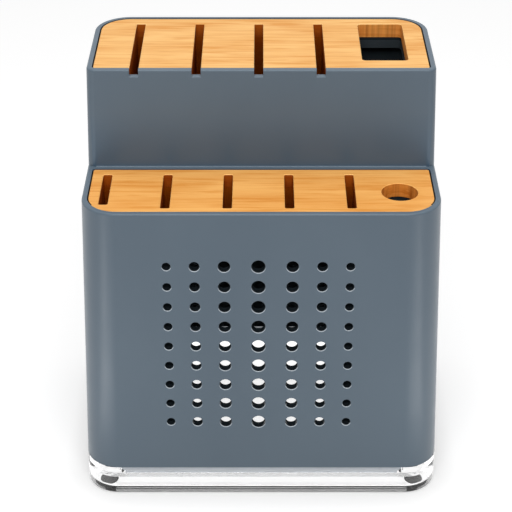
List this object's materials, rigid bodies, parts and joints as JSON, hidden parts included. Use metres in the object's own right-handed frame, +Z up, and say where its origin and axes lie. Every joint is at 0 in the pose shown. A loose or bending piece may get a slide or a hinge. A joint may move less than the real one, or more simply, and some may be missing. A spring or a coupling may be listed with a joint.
{
  "type": "knife and cutlery stand",
  "caption": "Two-tier open-bottomed stand for kitchen knives and cutlery, with slotted wooden tops and a clear drip tray.",
  "frame": {"origin": "on the table, under the middle of the stand's bounding box", "axes": "+X to the right of the front, +Y to the back, +Z up"},
  "size_m": [0.21, 0.151, 0.2482],
  "materials": {
    "grey_plastic": "satin moulded slate grey",
    "black_plastic": "plain moulded black",
    "bamboo": "sanded and oiled bamboo, grain along the width",
    "clear_plastic": "clear polished acrylic",
    "rubber": "matte black",
    "screw_steel": "zinc-plated"
  },
  "bodies": {
    "tray": {"drip_tray": "clear_plastic", "foot_front_left": "rubber", "foot_front_right": "rubber", "foot_rear_left": "rubber", "foot_rear_right": "rubber"},
    "housing": {"housing": "grey_plastic", "inner_liner": "black_plastic"},
    "upper_top": {"upper_board": "bamboo", "upper_guide": "black_plastic", "upper_collar": "black_plastic", "upper_sleeves": "bamboo", "upper_board_screws": "screw_steel"},
    "lower_top": {"lower_board": "bamboo", "lower_guide": "black_plastic", "lower_collar": "black_plastic", "lower_sleeves": "bamboo", "lower_board_screws": "screw_steel"}
  },
  "joints": [
    {"name": "housing_lift", "type": "slide", "parent": "tray", "child": "housing", "axis": [0, 0, 1], "range_m": [0, 0.06]},
    {"name": "upper_top_lift", "type": "slide", "parent": "housing", "child": "upper_top", "axis": [0, 0, 1], "range_m": [0, 0.04]},
    {"name": "lower_top_lift", "type": "slide", "parent": "housing", "child": "lower_top", "axis": [0, 0, 1], "range_m": [0, 0.04]}
  ]
}
